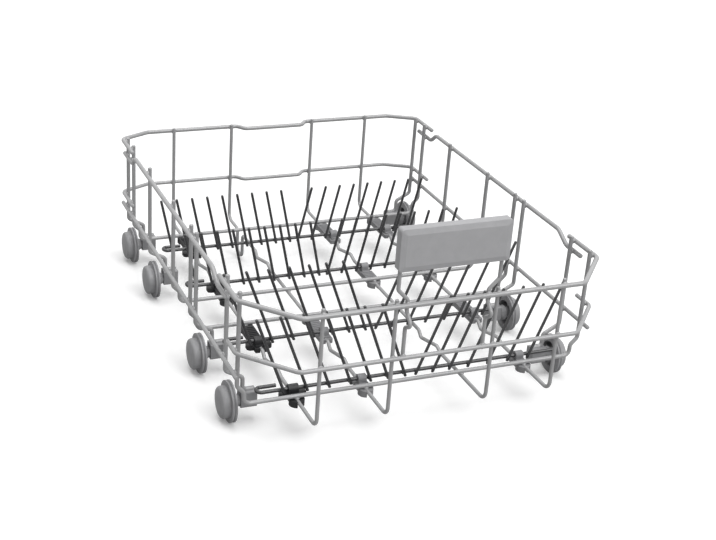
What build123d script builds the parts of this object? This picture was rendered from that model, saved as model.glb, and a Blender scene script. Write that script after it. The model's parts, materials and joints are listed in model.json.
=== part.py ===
from build123d import *
import os

# Lower basket of a narrow dishwasher: welded coated wire on eight wheels, with four fold-down tine rows.
# All sizes are in millimetres. X runs across the basket, -Y is its front and Z = 0 is the floor.

# Wires and how they meet
RAIL_D = 5.0
WIRE_D = 4.5
LONG_D = 4.0
SHAFT_D = 4.0
TINE_D = 3.2
WELD_GAP = 0.02

# Planes in which the upright wires touch the rails
SIDE_PLANE = 195.0
REAR_PLANE = 261.5
FRONT_PLANE = -256.5

# Uprights
UPRIGHT_TOP_Z = 163.5
LONG_TOP_Z = 163.5
CROSS_Y = {"cross_wire_1": 210.0, "cross_wire_2": 32.0, "cross_wire_3": -36.5, "cross_wire_4": -200.0}
WHEEL_Y = {"1": 237.0, "2": 133.5, "3": -57.0, "4": -162.0}

# Side rails
SIDE_TOP_Z = 157.5
SIDE_TOP_END_Z = 146.5
SIDE_TOP_REAR_END_Y = 234.0
SIDE_TOP_REAR_STEP_Y = 196.0
SIDE_TOP_REAR_RISE = 13.0
SIDE_TOP_FRONT_END_Y = -177.0
SIDE_TOP_FRONT_STEP_Y = -147.0
SIDE_TOP_FRONT_RISE = 19.0
SIDE_TOP_BEND_R = 15.0
SIDE_MID_Z = 77.0
SIDE_MID_REAR_END_Y = 246.0
SIDE_MID_FRONT_END_Y = -210.0

# Rear rails, with a shallow recess in the middle
REAR_TOP_Z = 160.0
REAR_MID_Z = 91.5
REAR_ARM_END_Y = 197.0
REAR_CORNER_Y = 246.0
REAR_CORNER_X = 162.0
RECESS_MOUTH_X = 46.0
RECESS_FLOOR_X = 38.0
RECESS_DEPTH = 11.0
REAR_CORNER_R = 10.0
RECESS_R = 8.0

# Front rails, with chamfered corners
FRONT_TOP_Z = 158.5
FRONT_MID_Z = 102.0
FRONT_TOP_ARM_END_Y = -150.0
FRONT_MID_ARM_END_Y = -181.0
FRONT_CORNER_Y = -207.0
FRONT_CORNER_X = 151.0
FRONT_CORNER_R = 10.0

# Long wires, with two sawteeth each that keep plates from rolling
LONG_X = {"long_wire_1": -129.3, "long_wire_2": -54.4, "long_wire_3": 54.4, "long_wire_4": 129.3}
LONG_Z = 36.0
LONG_CORNER_R = 10.0
TOOTH_BEND_R = 4.0
TOOTH_Y = (152.0, -95.0)
TOOTH_DIP_Z = 30.0
TOOTH_PEAK_Z = 39.5
TOOTH_DIP_RUN = 7.5
TOOTH_RISE_RUN = 38.0
TOOTH_FALL_RUN = 13.0
STOP_LOOP_WIRE = "long_wire_2"
STOP_LOOP_REAR_Y = 223.0
STOP_LOOP_FRONT_Y = 203.0
STOP_LOOP_Z = 6.0
STOP_LOOP_R = 6.0

# Lower bends of the cross wires and of the wheel posts
CROSS_JOG_TOP_Z = 61.0
CROSS_JOG_END_Z = 53.0
CROSS_FLOOR_X = 185.0
CROSS_JOG_R = 6.0
CROSS_FLOOR_R = 7.0
POST_JOG_TOP_Z = 58.0
POST_JOG_END_Z = 48.0
POST_DROP_X = 174.0
POST_END_X = 163.0
POST_END_Z = 33.0
POST_BEND_R = 5.0

# Wheels and their brackets
WHEEL_R = 22.0
TREAD_R = 17.0
FLANGE_INNER_X = 185.0
FLANGE_OUTER_X = 190.0
FLANGE_GROOVE_WIDTH = 2.2
FLANGE_GROOVE_DEPTH = 1.4
TREAD_OUTER_X = 199.5
TREAD_EDGE_R = 3.5
FACE_DOME = 1.5
FACE_FLAT_R = 8.0
WHEEL_POCKET_R = 14.5
WHEEL_WEB = 3.0
WHEEL_HUB_R = 7.0
WHEEL_HUB_REACH = 1.0
RIB_COUNT = 5
RIB_WIDTH = 1.6
RIB_SETBACK = 3.0
AXLE_R = 4.0
AXLE_CLEARANCE = 0.05
AXLE_END_GAP = 0.5
HUB_END_GAP = 0.5
BRACKET_R = 5.5
BRACKET_INNER_X = 160.0
BRACKET_CONE_X = 177.0
BRACKET_FACE_R = 9.0
BRACKET_DEPTH = 14.0
BRACKET_DROP = 6.5
BRACKET_EDGE_R = 1.5

# Fold-down tine rows
ROW_Y = {"a": 166.0, "b": 64.0, "c": -81.0, "d": -187.0}
SHORT_TINE_START_X = 5.5
SHORT_TINE_PITCH = 18.9
SHORT_TINE_COUNT = 9
SHORT_TINE_LEAN = 15.0
SHORT_TINE_TOP_Z = 110.0
TALL_TINE_X = (7.0, 26.5, 46.0, 68.0, 91.5, 115.5, 140.0)
TALL_TINE_LEAN = 32.0
TALL_TINE_TOP_Z = 127.0
TINE_FOOT = 3.0
TINE_TIP_R = 1.2
SHORT_ROWS = ("a", "b")
TINE_END_MARGIN = 9.3
SHAFT_REACH = {"a": 24.7, "b": 24.7, "c": 24.7, "d": 46.7}
HAIRPIN_REACH = 36.7
HAIRPIN_PITCH = 10.0
HAIRPIN_R = 4.8
HAIRPIN_END_GAP = 0.7

# Clips that carry the shafts on the long wires
CLIP_WIRES = {
    "a": ("long_wire_1", "long_wire_3", "long_wire_4"),
    "b": ("long_wire_1", "long_wire_3", "long_wire_4"),
    "c": ("long_wire_1", "long_wire_2", "long_wire_4"),
    "d": ("long_wire_1", "long_wire_2", "long_wire_4"),
}
CLIP_ANCHOR = {"a": "cross_wire_1", "b": "cross_wire_2", "c": "cross_wire_3", "d": "cross_wire_4"}
LATCH_WIRE = "long_wire_1"
LAST_WIRE = "long_wire_4"
CLIP_HALF_WIDTH = 4.4
LATCH_HALF_WIDTH = 5.4
CLIP_ARM_HALF_WIDTH = 7.0
CLIP_ARM_CORNER_R = 2.0
CLIP_PAD_R = 8.0
CLIP_PAD_DROP = 2.0
CLIP_COVER_GAP = 4.5
LATCH_WING_HALF_WIDTH = 14.0
LATCH_WING_DEPTH = 12.0
LATCH_WING_HEIGHT = 4.5
LATCH_WING_TOP = 4.2
LATCH_WING_CORNER_R = 4.0
TINE_CLIP_GAP = 0.4
CLIP_WEB = 2.0
CLIP_BLOCK_HALF_LENGTH = 8.0
CLIP_SADDLE_HALF_LENGTH = 11.5
CLIP_SADDLE_TOP = 1.4
CLIP_SADDLE_BOTTOM = 3.4
CLIP_SHOULDER_Z = 3.0
CLIP_EYE_R = 4.6
CLIP_SLOT_WIDTH = 3.2
WIRE_CLEARANCE = 0.03
SHAFT_CLEARANCE = 0.05

# Handle: one bent wire with a moulded grip
HANDLE_FOOT_X = 43.5
HANDLE_TOP_X = 54.2
HANDLE_FOOT_Z = 98.0
KINK_START_Z = 133.0
KINK_TIP_Z = 140.0
KINK_END_Z = 151.0
KINK_TIP_Y = -267.75
SPREAD_START_Z = 163.0
SPREAD_END_Z = 174.0
HANDLE_BAR_Z = 230.0
HANDLE_BEND_R = 4.0
GRIP_WIDTH = 117.0
GRIP_BOTTOM_Z = 195.4
GRIP_HEIGHT = 43.2
GRIP_FRONT_Y = -262.5
GRIP_BACK_Y = -251.0
GRIP_CORNER_R = 3.0
GRIP_BEVEL_WIDTH = 5.5
GRIP_BEVEL_DEPTH = 1.6
GRIP_FACE_CORNER_R = 1.0
GRIP_WALL = 2.0
GRIP_CHANNEL_WALL = 2.0

# Places that follow from the sizes above
POST_X = SIDE_PLANE - WIRE_D / 2 - WELD_GAP
LONG_FRONT_Y = FRONT_PLANE + LONG_D / 2 + WELD_GAP
LONG_REAR_Y = REAR_PLANE - LONG_D / 2 - WELD_GAP
CROSS_FLOOR_Z = LONG_Z + LONG_D / 2 + WIRE_D / 2 + WELD_GAP
SHAFT_BORE_R = SHAFT_D / 2 + SHAFT_CLEARANCE
SHAFT_Z = LONG_Z + LONG_D / 2 + WIRE_CLEARANCE + CLIP_WEB + SHAFT_BORE_R
TINE_OFFSET = SHAFT_D / 2 + TINE_D / 2 + WELD_GAP
AXLE_Z = WHEEL_R
POST_BORE_R = WIRE_D / 2 + WELD_GAP
WHEEL_PLATE_X = TREAD_OUTER_X - WHEEL_WEB
AXLE_END_X = WHEEL_PLATE_X - AXLE_END_GAP
HUB_FACE_X = FLANGE_INNER_X - WHEEL_HUB_REACH
BRACKET_FACE_X = HUB_FACE_X - HUB_END_GAP

nodes = {}


def rod(points, bends, diameter):
    """Round wire along straight runs joined by tangent arcs."""
    path = Polyline(*points) if len(points) == 2 else FilletPolyline(*points, radius=bends)
    section = Plane(origin=path @ 0, z_dir=path % 0) * Circle(diameter / 2)
    return sweep(section, path=path).solid()


def side_name(sign):
    return "left" if sign < 0 else "right"


def side_rails(sign):
    top_x = sign * (SIDE_PLANE + RAIL_D / 2)
    mid_x = sign * (SIDE_PLANE + WIRE_D / 2)
    top_line = [
        (SIDE_TOP_REAR_END_Y, SIDE_TOP_END_Z),
        (SIDE_TOP_REAR_STEP_Y, SIDE_TOP_END_Z),
        (SIDE_TOP_REAR_STEP_Y - SIDE_TOP_REAR_RISE, SIDE_TOP_Z),
        (SIDE_TOP_FRONT_STEP_Y + SIDE_TOP_FRONT_RISE, SIDE_TOP_Z),
        (SIDE_TOP_FRONT_STEP_Y, SIDE_TOP_END_Z),
        (SIDE_TOP_FRONT_END_Y, SIDE_TOP_END_Z),
    ]
    top_points = [(top_x, y, z) for y, z in top_line]
    mid_points = [(mid_x, SIDE_MID_REAR_END_Y, SIDE_MID_Z), (mid_x, SIDE_MID_FRONT_END_Y, SIDE_MID_Z)]
    nodes[f"side_top_rail_{side_name(sign)}"] = rod(top_points, SIDE_TOP_BEND_R, RAIL_D)
    nodes[f"side_mid_rail_{side_name(sign)}"] = rod(mid_points, None, WIRE_D)


def mirrored(half):
    """Right half of a plan line, followed by its mirror image."""
    return half + [(-x, y) for x, y in reversed(half)]


def rear_rail(z, diameter):
    side_x = SIDE_PLANE + diameter / 2
    back_y = REAR_PLANE + diameter / 2
    half = [
        (side_x, REAR_ARM_END_Y),
        (side_x, REAR_CORNER_Y),
        (REAR_CORNER_X, back_y),
        (RECESS_MOUTH_X, back_y),
        (RECESS_FLOOR_X, back_y - RECESS_DEPTH),
    ]
    half_bends = [REAR_CORNER_R, REAR_CORNER_R, RECESS_R, RECESS_R]
    points = [(x, y, z) for x, y in mirrored(half)]
    return rod(points, half_bends + half_bends[::-1], diameter)


def front_rail(z, diameter, arm_end_y):
    side_x = SIDE_PLANE + diameter / 2
    half = [(side_x, arm_end_y), (side_x, FRONT_CORNER_Y), (FRONT_CORNER_X, FRONT_PLANE - diameter / 2)]
    points = [(x, y, z) for x, y in mirrored(half)]
    return rod(points, FRONT_CORNER_R, diameter)


def cross_wire(y):
    """Upright on each side and the floor run that joins them."""
    half = [
        (POST_X, UPRIGHT_TOP_Z),
        (POST_X, CROSS_JOG_TOP_Z),
        (CROSS_FLOOR_X, CROSS_JOG_END_Z),
        (CROSS_FLOOR_X, CROSS_FLOOR_Z),
    ]
    half_bends = [CROSS_JOG_R, CROSS_JOG_R, CROSS_FLOOR_R]
    points = [(x, y, z) for x, z in mirrored(half)]
    return rod(points, half_bends + half_bends[::-1], WIRE_D)


def long_wire(wire):
    """Front and rear uprights joined by a floor run with two sawteeth."""
    line = [(LONG_REAR_Y, LONG_TOP_Z), (LONG_REAR_Y, LONG_Z)]
    bends = [LONG_CORNER_R]
    if wire == STOP_LOOP_WIRE:
        line += [
            (STOP_LOOP_REAR_Y, LONG_Z),
            (STOP_LOOP_REAR_Y, STOP_LOOP_Z),
            (STOP_LOOP_FRONT_Y, STOP_LOOP_Z),
            (STOP_LOOP_FRONT_Y, LONG_Z),
        ]
        bends += [STOP_LOOP_R] * 4
    for start_y in TOOTH_Y:
        dip_y = start_y - TOOTH_DIP_RUN
        peak_y = dip_y - TOOTH_RISE_RUN
        line += [
            (start_y, LONG_Z),
            (dip_y, TOOTH_DIP_Z),
            (peak_y, TOOTH_PEAK_Z),
            (peak_y - TOOTH_FALL_RUN, LONG_Z),
        ]
        bends += [TOOTH_BEND_R] * 4
    line += [(LONG_FRONT_Y, LONG_Z), (LONG_FRONT_Y, LONG_TOP_Z)]
    bends += [LONG_CORNER_R]
    return rod([(LONG_X[wire], y, z) for y, z in line], bends, LONG_D)


def post_line(end_x):
    """Wheel post in X and Z, bent in at the bottom as far as end_x."""
    return [
        (POST_X, UPRIGHT_TOP_Z),
        (POST_X, POST_JOG_TOP_Z),
        (POST_DROP_X, POST_JOG_END_Z),
        (POST_DROP_X, POST_END_Z),
        (end_x, POST_END_Z),
    ]


def wheel_post(sign, y):
    """Upright whose lower end is bent in over the wheel bracket."""
    return rod([(sign * x, y, z) for x, z in post_line(POST_END_X)], POST_BEND_R, WIRE_D)


def turned(profile, corner=None, corner_r=None):
    """Solid of revolution about the X axis from points of X and radius, with one corner rounded if given."""
    face = make_face(Polyline(*profile, close=True))
    if corner:
        face = fillet(face.vertices().sort_by_distance((*corner, 0))[0], corner_r)
    return revolve(face, axis=Axis.X).solid()


def placed(right_part, sign, y):
    """A right-hand part built about the X axis, set on its axle line on either side."""
    part = right_part if sign > 0 else mirror(right_part, about=Plane.YZ)
    return Pos(0, y, AXLE_Z) * part


def wheel():
    """Hollow wheel with a domed face, a grooved flange and ribs round its hub."""
    groove_x = (FLANGE_INNER_X + FLANGE_OUTER_X) / 2
    tread_rim = (TREAD_OUTER_X - FACE_DOME, TREAD_R)
    profile = [
        (HUB_FACE_X, AXLE_R + AXLE_CLEARANCE),
        (HUB_FACE_X, WHEEL_HUB_R),
        (WHEEL_PLATE_X, WHEEL_HUB_R),
        (WHEEL_PLATE_X, WHEEL_POCKET_R),
        (FLANGE_INNER_X, WHEEL_POCKET_R),
        (FLANGE_INNER_X, WHEEL_R),
        (groove_x - FLANGE_GROOVE_WIDTH / 2, WHEEL_R),
        (groove_x, WHEEL_R - FLANGE_GROOVE_DEPTH),
        (groove_x + FLANGE_GROOVE_WIDTH / 2, WHEEL_R),
        (FLANGE_OUTER_X, WHEEL_R),
        (FLANGE_OUTER_X, TREAD_R),
        tread_rim,
        (TREAD_OUTER_X, FACE_FLAT_R),
        (TREAD_OUTER_X, 0),
        (WHEEL_PLATE_X, 0),
        (WHEEL_PLATE_X, AXLE_R + AXLE_CLEARANCE),
    ]
    body = turned(profile, tread_rim, TREAD_EDGE_R)
    rib_length = WHEEL_PLATE_X - FLANGE_INNER_X - RIB_SETBACK
    rib_height = WHEEL_POCKET_R - WHEEL_HUB_R
    rib = Pos(WHEEL_PLATE_X - rib_length / 2, 0, WHEEL_HUB_R + rib_height / 2) * Box(
        rib_length, RIB_WIDTH, rib_height + RIB_WIDTH)
    for index in range(RIB_COUNT):
        body = body + Rot(360 * index / RIB_COUNT, 0, 0) * rib
    return body.solid()


def wheel_bracket():
    """Stub axle with a flared shoulder on a block whose top is the seat of the post's bent end."""
    axle = turned([
        (BRACKET_INNER_X, 0),
        (BRACKET_INNER_X, BRACKET_R),
        (BRACKET_CONE_X, BRACKET_R),
        (BRACKET_FACE_X, BRACKET_FACE_R),
        (BRACKET_FACE_X, AXLE_R),
        (AXLE_END_X, AXLE_R),
        (AXLE_END_X, 0),
    ])
    block_length = BRACKET_CONE_X - BRACKET_INNER_X
    block_top = POST_END_Z - AXLE_Z
    block = Pos(BRACKET_INNER_X + block_length / 2, 0, (block_top - BRACKET_DROP) / 2) * Box(
        block_length, BRACKET_DEPTH, block_top + BRACKET_DROP)
    block = fillet(block.edges().filter_by(Axis.X), BRACKET_EDGE_R)
    seat_line = [(x, 0, z - AXLE_Z) for x, z in post_line(BRACKET_INNER_X - WIRE_D)]
    seat = rod(seat_line, POST_BEND_R, 2 * POST_BORE_R)
    return (axle + block - seat).solid()


def tine(x, lean, top_z, y):
    """One tine welded to the front of its shaft, leaning away from the middle."""
    slope = lean / (top_z - SHAFT_Z)
    sign = 1 if x > 0 else -1
    foot = Vector(x - sign * slope * TINE_FOOT, y - TINE_OFFSET, SHAFT_Z - TINE_FOOT)
    tip = Vector(x + sign * lean, y - TINE_OFFSET, top_z)
    stem = Solid.make_cylinder(TINE_D / 2, (tip - foot).length, Plane(origin=foot, z_dir=tip - foot))
    return stem.fillet(TINE_TIP_R, [stem.edges().filter_by(GeomType.CIRCLE).sort_by(Axis.Z)[-1]])


def clip_half_width(wire):
    return LATCH_HALF_WIDTH if wire == LATCH_WIRE else CLIP_HALF_WIDTH


def clear_of_clips(x, name):
    """Place of a tine along its shaft, stepped aside where a clip's eye would be in its way."""
    for wire in CLIP_WIRES[name]:
        room = clip_half_width(wire) + TINE_D / 2 + TINE_CLIP_GAP
        offset = x - LONG_X[wire]
        if abs(offset) < room:
            return LONG_X[wire] + (room if offset > 0 else -room)
    return x


def tine_row(name):
    """Shaft with a hairpin at its left end, and the tines welded to its front."""
    y = ROW_Y[name]
    if name in SHORT_ROWS:
        bases = [SHORT_TINE_START_X + SHORT_TINE_PITCH * i for i in range(SHORT_TINE_COUNT)]
        lean = SHORT_TINE_LEAN
        top_z = SHORT_TINE_TOP_Z
    else:
        bases = list(TALL_TINE_X)
        lean = TALL_TINE_LEAN
        top_z = TALL_TINE_TOP_Z
    places = [clear_of_clips(sign * x, name) for x in bases for sign in (-1, 1)]
    right_x = max(max(places) + TINE_END_MARGIN, LONG_X[LAST_WIRE] + SHAFT_REACH[name])
    tip_x = min(min(places) - TINE_END_MARGIN, LONG_X[LATCH_WIRE] - HAIRPIN_REACH)
    return_x = LONG_X[LATCH_WIRE] - LATCH_WING_HALF_WIDTH - HAIRPIN_END_GAP
    shaft_line = [
        (return_x, y + HAIRPIN_PITCH, SHAFT_Z),
        (tip_x, y + HAIRPIN_PITCH, SHAFT_Z),
        (tip_x, y, SHAFT_Z),
        (right_x, y, SHAFT_Z),
    ]
    shaft = rod(shaft_line, HAIRPIN_R, SHAFT_D)
    return Compound([shaft] + [tine(x, lean, top_z, y) for x in places])


def clip(name, wire):
    """Eye for a shaft, on an arm that snaps over the long wire and ends in a pad under a cross wire."""
    reach = CROSS_Y[CLIP_ANCHOR[name]] - ROW_Y[name]
    toward = 1 if reach > 0 else -1
    width = 2 * clip_half_width(wire)
    wire_drop = SHAFT_Z - LONG_Z
    bottom = -wire_drop - CLIP_SADDLE_BOTTOM
    arm_height = CLIP_SADDLE_TOP + CLIP_SADDLE_BOTTOM
    block_height = -CLIP_SHOULDER_Z - bottom
    tail = -toward * CLIP_SADDLE_HALF_LENGTH
    arm_length = abs(reach - tail)
    arm_outline = RectangleRounded(2 * CLIP_ARM_HALF_WIDTH, arm_length, CLIP_ARM_CORNER_R)
    body = Pos(0, (reach + tail) / 2, bottom) * extrude(arm_outline, arm_height)
    pad_height = arm_height + CLIP_PAD_DROP
    body += Pos(0, reach, bottom + arm_height - pad_height / 2) * Cylinder(CLIP_PAD_R, pad_height)
    body += Pos(0, 0, bottom + block_height / 2) * Box(width, 2 * CLIP_BLOCK_HALF_LENGTH, block_height)
    cover_start = toward * CLIP_BLOCK_HALF_LENGTH
    cover_end = reach - toward * CLIP_COVER_GAP
    body += Pos(0, (cover_start + cover_end) / 2, bottom + block_height / 2) * Box(
        2 * CLIP_ARM_HALF_WIDTH, abs(cover_end - cover_start), block_height)
    body += Rot(0, 90, 0) * Cylinder(CLIP_EYE_R, width)
    body += Pos(0, 0, -CLIP_EYE_R / 2) * Box(width, 2 * CLIP_EYE_R, CLIP_EYE_R)
    if wire == LATCH_WIRE:
        wing_outline = RectangleRounded(2 * LATCH_WING_HALF_WIDTH, LATCH_WING_DEPTH, LATCH_WING_CORNER_R)
        body += Pos(0, 0, -LATCH_WING_TOP - LATCH_WING_HEIGHT) * extrude(wing_outline, LATCH_WING_HEIGHT)
    full_length = 2 * (arm_length + CLIP_PAD_R)
    body -= Rot(0, 90, 0) * Cylinder(SHAFT_BORE_R, 2 * width)
    body -= Pos(0, 0, -wire_drop) * Rot(90, 0, 0) * Cylinder(LONG_D / 2 + WIRE_CLEARANCE, 2 * full_length)
    slot_height = CLIP_SADDLE_BOTTOM + CLIP_PAD_DROP
    body -= Pos(0, 0, -wire_drop - slot_height / 2) * Box(CLIP_SLOT_WIDTH, 2 * full_length, slot_height)
    return body.solid()


def handle_frame():
    half = [
        (HANDLE_FOOT_X, LONG_FRONT_Y, HANDLE_FOOT_Z),
        (HANDLE_FOOT_X, LONG_FRONT_Y, KINK_START_Z),
        (HANDLE_FOOT_X, KINK_TIP_Y, KINK_TIP_Z),
        (HANDLE_FOOT_X, LONG_FRONT_Y, KINK_END_Z),
        (HANDLE_FOOT_X, LONG_FRONT_Y, SPREAD_START_Z),
        (HANDLE_TOP_X, LONG_FRONT_Y, SPREAD_END_Z),
        (HANDLE_TOP_X, LONG_FRONT_Y, HANDLE_BAR_Z),
    ]
    points = half + [(-x, y, z) for x, y, z in reversed(half)]
    return rod(points, HANDLE_BEND_R, LONG_D)


def handle_grip():
    """Moulded grip, open at the back, whose two ribs snap over the legs of the handle frame."""
    thickness = GRIP_BACK_Y - GRIP_FRONT_Y
    middle_z = GRIP_BOTTOM_Z + GRIP_HEIGHT / 2
    back = Plane(origin=(0, GRIP_BACK_Y, middle_z), x_dir=(1, 0, 0), z_dir=(0, -1, 0))
    rim = RectangleRounded(GRIP_WIDTH, GRIP_HEIGHT, GRIP_CORNER_R)
    face = RectangleRounded(
        GRIP_WIDTH - 2 * GRIP_BEVEL_WIDTH, GRIP_HEIGHT - 2 * GRIP_BEVEL_WIDTH, GRIP_FACE_CORNER_R)
    rim_depth = thickness - GRIP_BEVEL_DEPTH
    bevel = loft([back.offset(rim_depth) * rim, back.offset(thickness) * face])
    shell = extrude(back * rim, rim_depth) + bevel
    pocket_outline = RectangleRounded(
        GRIP_WIDTH - 2 * GRIP_WALL, GRIP_HEIGHT - 2 * GRIP_WALL, GRIP_CORNER_R - GRIP_WALL)
    pocket_depth = thickness - GRIP_WALL
    pocket = extrude(back * pocket_outline, pocket_depth)
    leg_r = LONG_D / 2 + WIRE_CLEARANCE
    rib_width = 2 * (leg_r + GRIP_CHANNEL_WALL)
    rib_top = HANDLE_BAR_Z - HANDLE_BEND_R - leg_r - GRIP_CHANNEL_WALL
    rib_height = rib_top - GRIP_BOTTOM_Z
    slot_depth = GRIP_BACK_Y - LONG_FRONT_Y
    legs = []
    for sign in (-1, 1):
        leg_x = sign * HANDLE_TOP_X
        pocket -= Pos(leg_x, GRIP_BACK_Y - pocket_depth / 2, GRIP_BOTTOM_Z + rib_height / 2) * Box(
            rib_width, pocket_depth, rib_height)
        legs.append(Pos(leg_x, LONG_FRONT_Y, GRIP_BOTTOM_Z) * Cylinder(leg_r, 2 * rib_height))
        legs.append(Pos(leg_x, LONG_FRONT_Y + slot_depth, GRIP_BOTTOM_Z) * Box(
            2 * leg_r, 2 * slot_depth, 2 * rib_height))
    return (shell - pocket - legs).solid()


for sign in (-1, 1):
    side_rails(sign)
nodes["rear_top_rail"] = rear_rail(REAR_TOP_Z, RAIL_D)
nodes["rear_mid_rail"] = rear_rail(REAR_MID_Z, WIRE_D)
nodes["front_top_rail"] = front_rail(FRONT_TOP_Z, RAIL_D, FRONT_TOP_ARM_END_Y)
nodes["front_mid_rail"] = front_rail(FRONT_MID_Z, WIRE_D, FRONT_MID_ARM_END_Y)
for wire, y in CROSS_Y.items():
    nodes[wire] = cross_wire(y)
for wire in LONG_X:
    nodes[wire] = long_wire(wire)
wheel_part = wheel()
bracket_part = wheel_bracket()
for number, y in WHEEL_Y.items():
    for sign in (-1, 1):
        place = f"{side_name(sign)}_{number}"
        nodes[f"wheel_post_{place}"] = wheel_post(sign, y)
        nodes[f"wheel_bracket_{place}"] = placed(bracket_part, sign, y)
        nodes[f"wheel_{place}"] = placed(wheel_part, sign, y)
for name, wires in CLIP_WIRES.items():
    nodes[f"tine_row_{name}"] = tine_row(name)
    for wire in wires:
        nodes[f"clip_{name}_{wire[-1]}"] = Pos(LONG_X[wire], ROW_Y[name], SHAFT_Z) * clip(name, wire)
nodes["handle_frame"] = handle_frame()
nodes["handle_grip"] = handle_grip()

os.makedirs("parts", exist_ok=True)
for name, shape in nodes.items():
    export_step(shape, f"parts/{name}.step")
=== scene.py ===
import json
from math import cos, radians, sin

import bmesh
import bpy
from mathutils import Matrix, Vector
from mathutils.bvhtree import BVHTree


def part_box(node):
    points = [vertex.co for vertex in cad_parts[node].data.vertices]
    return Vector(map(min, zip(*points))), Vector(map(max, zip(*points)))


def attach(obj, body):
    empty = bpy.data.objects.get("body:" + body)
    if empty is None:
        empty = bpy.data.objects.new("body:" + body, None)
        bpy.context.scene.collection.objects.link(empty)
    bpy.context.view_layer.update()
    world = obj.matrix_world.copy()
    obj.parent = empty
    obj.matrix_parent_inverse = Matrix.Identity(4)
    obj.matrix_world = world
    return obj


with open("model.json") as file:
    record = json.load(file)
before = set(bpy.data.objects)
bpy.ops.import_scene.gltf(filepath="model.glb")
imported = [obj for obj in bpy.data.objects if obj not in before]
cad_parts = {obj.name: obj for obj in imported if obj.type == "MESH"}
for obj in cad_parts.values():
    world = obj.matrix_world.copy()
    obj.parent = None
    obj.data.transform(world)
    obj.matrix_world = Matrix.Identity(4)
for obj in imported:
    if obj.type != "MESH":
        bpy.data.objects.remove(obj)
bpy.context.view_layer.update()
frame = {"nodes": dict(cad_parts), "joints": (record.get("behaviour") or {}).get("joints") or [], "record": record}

MM = 0.001
IMAGE_WIDTH_PX = 716
SENSOR_MM = 36.0

# Camera, as the photograph was taken
CAMERA_AZIMUTH = radians(-24.36)
CAMERA_ELEVATION = radians(24.88)
CAMERA_ROLL = radians(4.2)
CAMERA_PLACE = Vector((-556.4, -1268.3, 716.3)) * MM
FOCAL_PX = 1329.8

# Coating that pools where two wires are welded: half sizes along the wires and across the joint
WELD_REACH = 3.1 * MM
WELD_DEPTH = 1.8 * MM
TINE_WELD_REACH = 2.4 * MM
TINE_WELD_DEPTH = 1.5 * MM

# Coating that rounds off the cut end of a wire, as shares of the wire's radius
END_WIDTH = 0.98
END_HEIGHT = 0.55
# The hairpin passes close by the latch when a row folds, so its coating is thinner there
HAIRPIN_END_HEIGHT = 0.2

# Fineness of a bead
BEAD_SEGMENTS = 16
BEAD_RINGS = 10

# A side top rail is stepped down within this distance of its ends
RAIL_STEP_REACH = 45 * MM

# A tine is told from its shaft by its height, and its ends are read from this much of its length
TINE_LEAST_HEIGHT = 10 * MM
TINE_END_LENGTH = 3 * MM
# Vertices closer than this are one point of a solid
SAME_POINT = 0.001 * MM

# A handle leg's end is read from the points this close to its lowest one
WIRE_END_BAND = 0.3 * MM

# Moulded grip ribs across the arms of the clips, centred this far below the shaft's axis
CLIP_COVER_DROP = 3.0 * MM
CLIP_RIB_LENGTH = 12.4 * MM
CLIP_RIB_WIDTH = 1.5 * MM
CLIP_RIB_HEIGHT = 1.6 * MM
CLIP_RIB_START = 11.0 * MM
CLIP_RIB_PITCH = 4.0 * MM
CLIP_RIB_END_GAP = 7.0 * MM
CLIP_RIB_EDGE = 0.4 * MM
CLIP_RIB_EDGE_STEPS = 2
LEAST_CLIP_RIBS = 2
CLIP_CROSS_WIRES = {"a": "cross_wire_1", "b": "cross_wire_2", "c": "cross_wire_3", "d": "cross_wire_4"}
LATCH_NUMBER = "1"

# Nylon coating: slow drifts in tone, and an orange peel with its depth and its swing in gloss
NYLON_IOR = 1.53
DRIFT_MM = 38
PEEL_MM = 1.4
PEEL_DEPTH = 0.06 * MM
PEEL_STRENGTH = 0.25
PEEL_GLOSS = 0.06
COAT_WEIGHT = 0.5
COAT_ROUGHNESS = 0.16

# Moulded polypropylene: flow marks with their swing in gloss, and the depth of the mould grain
POLYPROPYLENE_IOR = 1.49
FLOW_MM = 14
FLOW_TWIST = 0.8
FLOW_GLOSS = 0.07
GRAIN_DEPTH = 0.08 * MM
GRAIN_STRENGTH = 0.3

# Studio paper
PAPER_IOR = 1.5
FIBRE_MM = 3
PAPER_ROUGHNESS = 0.9
PAPER_GLOW = 0.12

# Studio, in metres, with the lights' directions and strengths
FLOOR_HALF_SIZE = 8.0
KEY_LIGHT_FROM = Vector((0.9, -2.0, 2.4))
KEY_LIGHT_STRENGTH = 1.7
TOP_LIGHT_FROM = Vector((-0.2, 0.6, 2.8))
TOP_LIGHT_STRENGTH = 1.4
LIGHT_SPREAD = radians(50)
ROOM_LIGHT = 0.32


# Small helpers

def linear(hex_text):
    """Linear colour from an sRGB hex string."""
    channels = [int(hex_text[i:i + 2], 16) / 255 for i in (1, 3, 5)]
    return [c / 12.92 if c <= 0.04045 else ((c + 0.055) / 1.055) ** 2.4 for c in channels] + [1.0]


def per_mm(size):
    """Texture scale whose features are about this many millimetres wide."""
    return 1 / (size * MM)


def join(tree, node, links):
    """Links outputs to a node's inputs by name or number."""
    for socket, output in links.items():
        tree.links.new(output, node.inputs[socket])


def add_node(tree, kind, inputs=None, links=None, **settings):
    """New node with its settings, input values and links."""
    node = tree.nodes.new(kind)
    for name, value in settings.items():
        setattr(node, name, value)
    for socket, value in (inputs or {}).items():
        node.inputs[socket].default_value = value
    join(tree, node, links or {})
    return node


def new_material(name, ior):
    """Empty material of one refractive index, with its tree, shader and object coordinates."""
    material = bpy.data.materials.new(name)
    material.use_nodes = True
    tree = material.node_tree
    shader = tree.nodes["Principled BSDF"]
    shader.inputs["IOR"].default_value = ior
    coords = add_node(tree, "ShaderNodeTexCoord").outputs["Object"]
    return material, tree, shader, coords


# Materials

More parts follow.
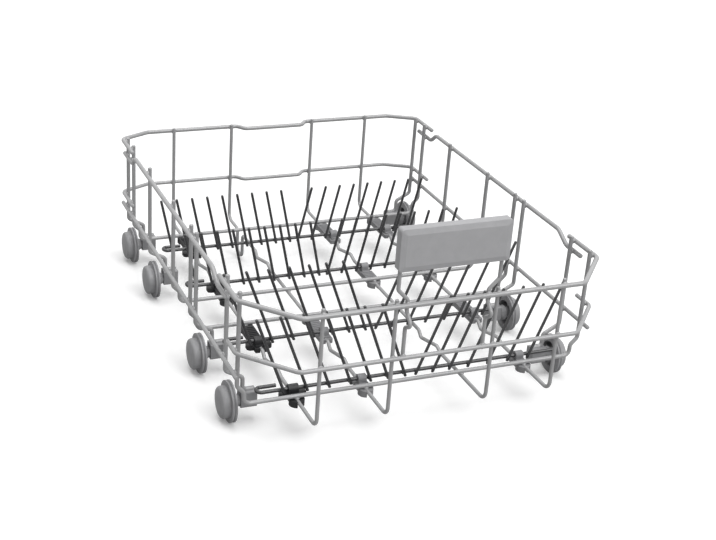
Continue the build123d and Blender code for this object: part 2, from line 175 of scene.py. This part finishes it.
def nylon_coating(name, dark, light, roughness):
    """Nylon powder fused on to steel wire: a satin skin with faint orange peel and slow drifts in tone."""
    material, tree, shader, coords = new_material(name, NYLON_IOR)
    drift = add_node(tree, "ShaderNodeTexNoise", {"Scale": per_mm(DRIFT_MM), "Detail": 3},
                     {"Vector": coords})
    # The peel of a real coating is finer than a pixel here, so it is drawn coarser to show at all
    peel = add_node(tree, "ShaderNodeTexNoise", {"Scale": per_mm(PEEL_MM), "Detail": 2},
                    {"Vector": coords})
    tone = add_node(tree, "ShaderNodeMixRGB", {"Color1": linear(dark), "Color2": linear(light)},
                    {"Fac": drift.outputs["Fac"]})
    gloss = add_node(tree, "ShaderNodeMapRange",
                     {"To Min": roughness - PEEL_GLOSS, "To Max": roughness + PEEL_GLOSS},
                     {"Value": peel.outputs["Fac"]})
    skin = add_node(tree, "ShaderNodeBump", {"Strength": PEEL_STRENGTH, "Distance": PEEL_DEPTH},
                    {"Height": peel.outputs["Fac"]})
    join(tree, shader, {
        "Base Color": tone.outputs["Color"],
        "Roughness": gloss.outputs["Result"],
        "Normal": skin.outputs["Normal"],
    })
    shader.inputs["Coat Weight"].default_value = COAT_WEIGHT
    shader.inputs["Coat Roughness"].default_value = COAT_ROUGHNESS
    return material


def moulded_plastic(name, dark, light, roughness, grain_mm):
    """Injection-moulded polypropylene: matt, with a spark-eroded grain and soft flow marks."""
    material, tree, shader, coords = new_material(name, POLYPROPYLENE_IOR)
    flow = add_node(tree, "ShaderNodeTexNoise",
                    {"Scale": per_mm(FLOW_MM), "Detail": 4, "Distortion": FLOW_TWIST}, {"Vector": coords})
    # Mould grain is about 0.1 mm wide, and is drawn several times coarser so that it shows
    grain = add_node(tree, "ShaderNodeTexVoronoi", {"Scale": per_mm(grain_mm)}, {"Vector": coords})
    tone = add_node(tree, "ShaderNodeMixRGB", {"Color1": linear(dark), "Color2": linear(light)},
                    {"Fac": flow.outputs["Fac"]})
    gloss = add_node(tree, "ShaderNodeMapRange",
                     {"To Min": roughness - FLOW_GLOSS, "To Max": roughness + FLOW_GLOSS},
                     {"Value": flow.outputs["Fac"]})
    skin = add_node(tree, "ShaderNodeBump", {"Strength": GRAIN_STRENGTH, "Distance": GRAIN_DEPTH},
                    {"Height": grain.outputs["Distance"]})
    join(tree, shader, {
        "Base Color": tone.outputs["Color"],
        "Roughness": gloss.outputs["Result"],
        "Normal": skin.outputs["Normal"],
    })
    return material


def seamless_paper(name):
    """Matt studio paper: white to the camera, and greyer in the light that it throws back."""
    material, tree, shader, coords = new_material(name, PAPER_IOR)
    fibre = add_node(tree, "ShaderNodeTexNoise", {"Scale": per_mm(FIBRE_MM), "Detail": 3},
                     {"Vector": coords})
    sheet = add_node(tree, "ShaderNodeMixRGB", {"Color1": linear("#fafafa"), "Color2": linear("#fefefe")},
                     {"Fac": fibre.outputs["Fac"]})
    rays = add_node(tree, "ShaderNodeLightPath")
    tone = add_node(tree, "ShaderNodeMixRGB", {"Color1": linear("#a8a8a8")},
                    {"Fac": rays.outputs["Is Camera Ray"], "Color2": sheet.outputs["Color"]})
    # Seen by the camera alone, the sheet is lifted a little, so that the shadow on it stays pale
    glow = add_node(tree, "ShaderNodeMath", {1: PAPER_GLOW}, {0: rays.outputs["Is Camera Ray"]},
                    operation="MULTIPLY")
    join(tree, shader, {"Base Color": tone.outputs["Color"], "Emission Strength": glow.outputs["Value"]})
    shader.inputs["Emission Color"].default_value = linear("#ffffff")
    shader.inputs["Roughness"].default_value = PAPER_ROUGHNESS
    return material


LIGHT_WIRE = nylon_coating("nylon_coating_light_grey", "#99999a", "#b2b2b3", roughness=0.24)
DARK_WIRE = nylon_coating("nylon_coating_charcoal", "#2d2d2f", "#434345", roughness=0.24)
WHEEL_GREY = moulded_plastic("polypropylene_wheel_grey", "#909092", "#acacae",
                             roughness=0.46, grain_mm=0.9)
BRACKET_GREY = moulded_plastic("polypropylene_bracket_grey", "#8a8a8c", "#a4a4a6",
                               roughness=0.5, grain_mm=0.9)
CLIP_GREY = moulded_plastic("polypropylene_clip_grey", "#7c7c7e", "#98989a",
                            roughness=0.5, grain_mm=0.8)
LATCH_DARK = moulded_plastic("polypropylene_latch_charcoal", "#1b1b1c", "#2c2c2e",
                             roughness=0.44, grain_mm=0.8)
GRIP_GREY = moulded_plastic("polypropylene_grip_grey", "#a6a6a8", "#b5b5b7",
                            roughness=0.52, grain_mm=0.7)

NODE_MATERIALS = {
    "coated_wire": LIGHT_WIRE,
    "tine_wire": DARK_WIRE,
    "wheel_plastic": WHEEL_GREY,
    "bracket_plastic": BRACKET_GREY,
    "clip_plastic": CLIP_GREY,
    "latch_plastic": LATCH_DARK,
    "grip_plastic": GRIP_GREY,
}


def dress_nodes():
    """Gives each CAD node the material of its slot in the record."""
    for subpart in frame["record"]["subparts"]:
        node = frame["nodes"][subpart["node"]]
        material = NODE_MATERIALS[subpart["material_slot"]]
        for slot in node.material_slots:
            slot.material = material


# Places read from the CAD nodes

def nodes_named(start):
    """Names of the CAD nodes that begin alike, in order."""
    return sorted(n for n in frame["nodes"] if n.startswith(start))


def middle(node):
    """Middle of a node's box."""
    low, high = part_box(node)
    return (low + high) / 2


def wire_radius(node, axis):
    """Half of a flat-lying wire's thickness along one axis."""
    low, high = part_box(node)
    return (high[axis] - low[axis]) / 2


def passes(node, place):
    """Whether a wire's skin comes within a bead's depth of a place."""
    data = frame["nodes"][node].data
    tree = BVHTree.FromPolygons([v.co for v in data.vertices], [p.vertices[:] for p in data.polygons])
    return tree.find_nearest(place, WELD_DEPTH)[0] is not None


def handle_feet():
    """Lower ends of the two handle legs, and their radius."""
    places = [v.co for v in frame["nodes"]["handle_frame"].data.vertices]
    lowest = min(co.z for co in places)
    feet = []
    for sign in (-1, 1):
        foot = [co for co in places if co.z < lowest + WIRE_END_BAND and co.x * sign > 0]
        feet.append(Vector((
            (min(co.x for co in foot) + max(co.x for co in foot)) / 2,
            (min(co.y for co in foot) + max(co.y for co in foot)) / 2,
            lowest,
        )))
    radius = (max(co.x for co in foot) - min(co.x for co in foot)) / 2
    return feet, radius


def side_uprights():
    """Side and place of each upright along the sides, as sign, touching plane X and Y."""
    uprights = []
    for node in nodes_named("cross_wire"):
        low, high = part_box(node)
        uprights.append((-1, low.x, middle(node).y))
        uprights.append((1, high.x, middle(node).y))
    for node in nodes_named("wheel_post"):
        low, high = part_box(node)
        sign = -1 if high.x < 0 else 1
        uprights.append((sign, low.x if sign < 0 else high.x, middle(node).y))
    return uprights


def side_rail_heights(sign, y):
    """Height of each rail that passes an upright on one side."""
    side = "left" if sign < 0 else "right"
    heights = []
    top_low, top_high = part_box(f"side_top_rail_{side}")
    radius = wire_radius(f"side_top_rail_{side}", 0)
    if top_low.y < y < top_high.y:
        near_end = min(y - top_low.y, top_high.y - y) < RAIL_STEP_REACH
        heights.append(top_low.z + radius if near_end else top_high.z - radius)
    mid_low, mid_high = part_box(f"side_mid_rail_{side}")
    if mid_low.y < y < mid_high.y:
        heights.append(middle(f"side_mid_rail_{side}").z)
    for node in ("rear_top_rail", "rear_mid_rail"):
        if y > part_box(node)[0].y:
            heights.append(middle(node).z)
    for node in ("front_top_rail", "front_mid_rail"):
        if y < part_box(node)[1].y:
            heights.append(middle(node).z)
    return heights


def islands(node):
    """Vertex places of each loose solid in a node, in the order of the mesh."""
    mesh = bmesh.new()
    mesh.from_mesh(frame["nodes"][node].data)
    bmesh.ops.remove_doubles(mesh, verts=mesh.verts, dist=SAME_POINT)
    seen = set()
    groups = []
    for start in mesh.verts:
        if start in seen:
            continue
        seen.add(start)
        queue = [start]
        group = []
        while queue:
            vertex = queue.pop()
            group.append(vertex.co.copy())
            for edge in vertex.link_edges:
                other = edge.other_vert(vertex)
                if other not in seen:
                    seen.add(other)
                    queue.append(other)
        groups.append(group)
    mesh.free()
    return groups


# Pieces of pooled coating and moulded ribs

def bead(mesh, centre, half_sizes):
    """Smooth ellipsoid of pooled coating."""
    shape = Matrix.Translation(centre) @ Matrix.Diagonal((*half_sizes, 1.0))
    bmesh.ops.create_uvsphere(
        mesh, u_segments=BEAD_SEGMENTS, v_segments=BEAD_RINGS, radius=1.0, matrix=shape)


def rounded_end(mesh, centre, axis, radius, height=END_HEIGHT):
    """Domed skin of coating over the cut end of a wire that runs along an axis."""
    sizes = [radius * END_WIDTH] * 3
    sizes[axis] = radius * height
    bead(mesh, centre, sizes)


def finish_piece(mesh, name, material, body, smooth=True):
    """Turns a collected mesh into one piece that rides on a body."""
    data = bpy.data.meshes.new(name)
    mesh.to_mesh(data)
    mesh.free()
    data.materials.append(material)
    for face in data.polygons:
        face.use_smooth = smooth
    piece = bpy.data.objects.new(name, data)
    bpy.context.scene.collection.objects.link(piece)
    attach(piece, body)


def frame_welds():
    """Pooled coating where the wires of the frame are welded."""
    mesh = bmesh.new()
    for sign, x, y in side_uprights():
        for z in side_rail_heights(sign, y):
            bead(mesh, Vector((x, y, z)), (WELD_DEPTH, WELD_REACH, WELD_REACH))
    front_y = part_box("long_wire_1")[0].y
    for long_node in nodes_named("long_wire"):
        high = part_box(long_node)[1]
        x = middle(long_node).x
        for rail in ("rear_top_rail", "rear_mid_rail"):
            bead(mesh, Vector((x, high.y, middle(rail).z)), (WELD_REACH, WELD_DEPTH, WELD_REACH))
        for cross_node in nodes_named("cross_wire"):
            place = Vector((x, middle(cross_node).y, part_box(cross_node)[0].z))
            # The stop loop dips below a cross wire without touching it
            if passes(long_node, place):
                bead(mesh, place, (WELD_REACH, WELD_REACH, WELD_DEPTH))
    front_x = [middle(node).x for node in nodes_named("long_wire")] + [foot.x for foot in handle_feet()[0]]
    for x in front_x:
        for rail in ("front_top_rail", "front_mid_rail"):
            bead(mesh, Vector((x, front_y, middle(rail).z)), (WELD_REACH, WELD_DEPTH, WELD_REACH))
    finish_piece(mesh, "frame_welds", LIGHT_WIRE, "basket")


def frame_wire_ends():
    """Rounded coating on every cut end of the frame's wires."""
    mesh = bmesh.new()
    for node in nodes_named("cross_wire"):
        low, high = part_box(node)
        radius = wire_radius(node, 1)
        for x in (low.x + radius, high.x - radius):
            rounded_end(mesh, Vector((x, middle(node).y, high.z)), 2, radius)
    for node in nodes_named("wheel_post"):
        low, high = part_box(node)
        radius = wire_radius(node, 1)
        on_left = high.x < 0
        top_x = low.x + radius if on_left else high.x - radius
        rounded_end(mesh, Vector((top_x, middle(node).y, high.z)), 2, radius)
        stub_x = high.x if on_left else low.x
        rounded_end(mesh, Vector((stub_x, middle(node).y, low.z + radius)), 0, radius)
    for node in nodes_named("long_wire"):
        low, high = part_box(node)
        radius = wire_radius(node, 0)
        for y in (low.y + radius, high.y - radius):
            rounded_end(mesh, Vector((middle(node).x, y, high.z)), 2, radius)
    for node in nodes_named("side_top_rail") + nodes_named("side_mid_rail"):
        low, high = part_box(node)
        radius = wire_radius(node, 0)
        for y in (low.y, high.y):
            rounded_end(mesh, Vector((middle(node).x, y, low.z + radius)), 1, radius)
    for node in ("rear_top_rail", "rear_mid_rail", "front_top_rail", "front_mid_rail"):
        low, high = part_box(node)
        radius = wire_radius(node, 2)
        end_y = low.y if node.startswith("rear") else high.y
        for x in (low.x + radius, high.x - radius):
            rounded_end(mesh, Vector((x, end_y, middle(node).z)), 1, radius)
    feet, radius = handle_feet()
    for foot in feet:
        rounded_end(mesh, foot, 2, radius)
    finish_piece(mesh, "frame_wire_ends", LIGHT_WIRE, "basket")


def row_coating(row, shaft_place):
    """Pooled coating where each tine meets its shaft, and rounded ends on the tines and the shaft."""
    welds = bmesh.new()
    ends = bmesh.new()
    for group in islands(f"tine_row_{row}"):
        lowest = min(co.z for co in group)
        highest = max(co.z for co in group)
        # A solid that doesn't rise above the shaft is the shaft itself, with its hairpin
        if highest < shaft_place.z + TINE_LEAST_HEIGHT:
            radius = (highest - lowest) / 2
            right_x = max(co.x for co in group)
            rounded_end(ends, Vector((right_x, shaft_place.y, shaft_place.z)), 0, radius)
            back_y = max(co.y for co in group) - radius
            return_x = max(co.x for co in group if co.y > back_y)
            rounded_end(ends, Vector((return_x, back_y, shaft_place.z)), 0, radius, HAIRPIN_END_HEIGHT)
            continue
        foot = [co for co in group if co.z < lowest + TINE_END_LENGTH]
        tip = [co for co in group if co.z > highest - TINE_END_LENGTH]
        foot_middle = sum(foot, Vector()) / len(foot)
        tip_middle = sum(tip, Vector()) / len(tip)
        share = (shaft_place.z - foot_middle.z) / (tip_middle.z - foot_middle.z)
        on_tine = foot_middle.lerp(tip_middle, share)
        centre = Vector((on_tine.x, (on_tine.y + shaft_place.y) / 2, shaft_place.z))
        bead(welds, centre, (TINE_WELD_REACH, TINE_WELD_DEPTH, TINE_WELD_REACH))
        radius = (max(co.y for co in group) - min(co.y for co in group)) / 2
        along = (tip_middle - foot_middle).normalized()
        end_z = lowest + radius * (1 - along.z ** 2) ** 0.5
        foot_end = foot_middle + along * ((end_z - foot_middle.z) / along.z)
        rounded_end(ends, foot_end, 2, radius)
    finish_piece(welds, f"tine_welds_{row}", DARK_WIRE, f"row_{row}")
    finish_piece(ends, f"tine_row_ends_{row}", DARK_WIRE, f"row_{row}")


def clip_ribs(row, shaft_place):
    """Low moulded ribs across the arms of a row's clips, where an arm is long enough for them."""
    cross_y = middle(CLIP_CROSS_WIRES[row]).y
    toward = 1 if cross_y > shaft_place.y else -1
    room = abs(cross_y - shaft_place.y) - CLIP_RIB_END_GAP
    count = int((room - CLIP_RIB_START) / CLIP_RIB_PITCH) + 1
    if count < LEAST_CLIP_RIBS:
        return
    for node in nodes_named(f"clip_{row}_"):
        mesh = bmesh.new()
        for index in range(count):
            y = shaft_place.y + toward * (CLIP_RIB_START + index * CLIP_RIB_PITCH)
            centre = Vector((middle(node).x, y, shaft_place.z - CLIP_COVER_DROP))
            shape = Matrix.Translation(centre) @ Matrix.Diagonal(
                (CLIP_RIB_LENGTH, CLIP_RIB_WIDTH, CLIP_RIB_HEIGHT, 1.0))
            bmesh.ops.create_cube(mesh, size=1.0, matrix=shape)
        bmesh.ops.bevel(
            mesh, geom=mesh.edges[:], offset=CLIP_RIB_EDGE, segments=CLIP_RIB_EDGE_STEPS, affect="EDGES")
        is_latch = node.endswith(LATCH_NUMBER)
        slot = "latch_plastic" if is_latch else "clip_plastic"
        finish_piece(mesh, f"{node}_ribs", NODE_MATERIALS[slot], "basket", smooth=False)


# Studio

def studio_floor():
    """Pale floor under the wheels."""
    mesh = bmesh.new()
    bmesh.ops.create_grid(mesh, x_segments=1, y_segments=1, size=FLOOR_HALF_SIZE)
    data = bpy.data.meshes.new("studio_floor")
    mesh.to_mesh(data)
    mesh.free()
    data.materials.append(seamless_paper("studio_paper"))
    floor = bpy.data.objects.new("studio_floor", data)
    bpy.context.scene.collection.objects.link(floor)


def soft_light(name, source, strength):
    """Broad even light that falls from one side."""
    data = bpy.data.lights.new(name, "SUN")
    data.angle = LIGHT_SPREAD
    data.energy = strength
    light = bpy.data.objects.new(name, data)
    light.location = source
    light.rotation_euler = source.to_track_quat("Z", "Y").to_euler()
    bpy.context.scene.collection.objects.link(light)


def studio_light():
    """Soft light from the front right and from overhead, in a room whose walls look white."""
    world = bpy.data.worlds.new("studio_world")
    world.use_nodes = True
    tree = world.node_tree
    background = tree.nodes["Background"]
    background.inputs["Color"].default_value = linear("#ffffff")
    rays = add_node(tree, "ShaderNodeLightPath")
    seen = add_node(tree, "ShaderNodeMath", {}, {
        0: rays.outputs["Is Camera Ray"],
        1: rays.outputs["Is Glossy Ray"],
    }, operation="MAXIMUM")
    strength = add_node(tree, "ShaderNodeMapRange", {"To Min": ROOM_LIGHT, "To Max": 1.0},
                        {"Value": seen.outputs["Value"]})
    join(tree, background, {"Strength": strength.outputs["Result"]})
    bpy.context.scene.world = world
    soft_light("key_light", KEY_LIGHT_FROM, KEY_LIGHT_STRENGTH)
    soft_light("top_light", TOP_LIGHT_FROM, TOP_LIGHT_STRENGTH)


def photo_camera():
    """Camera at the photograph's place, turned by its azimuth, elevation and roll."""
    back = Vector((
        sin(CAMERA_AZIMUTH) * cos(CAMERA_ELEVATION),
        -cos(CAMERA_AZIMUTH) * cos(CAMERA_ELEVATION),
        sin(CAMERA_ELEVATION),
    ))
    level = Vector((cos(CAMERA_AZIMUTH), sin(CAMERA_AZIMUTH), 0.0))
    upright = back.cross(level)
    right = level * cos(CAMERA_ROLL) + upright * sin(CAMERA_ROLL)
    up = upright * cos(CAMERA_ROLL) - level * sin(CAMERA_ROLL)
    data = bpy.data.cameras.new("photo_camera")
    data.sensor_width = SENSOR_MM
    data.lens = SENSOR_MM * FOCAL_PX / IMAGE_WIDTH_PX
    camera = bpy.data.objects.new("photo_camera", data)
    turn = Matrix((right, up, back)).transposed().to_4x4()
    camera.matrix_world = Matrix.Translation(CAMERA_PLACE) @ turn
    bpy.context.scene.collection.objects.link(camera)
    bpy.context.scene.camera = camera


dress_nodes()
frame_welds()
frame_wire_ends()
for joint in frame["joints"]:
    if joint["child"].startswith("row_"):
        row_name = joint["child"].removeprefix("row_")
        row_coating(row_name, Vector(joint["pos_m"]))
        clip_ribs(row_name, Vector(joint["pos_m"]))
studio_floor()
studio_light()
photo_camera()
bpy.context.scene.view_settings.view_transform = "Standard"
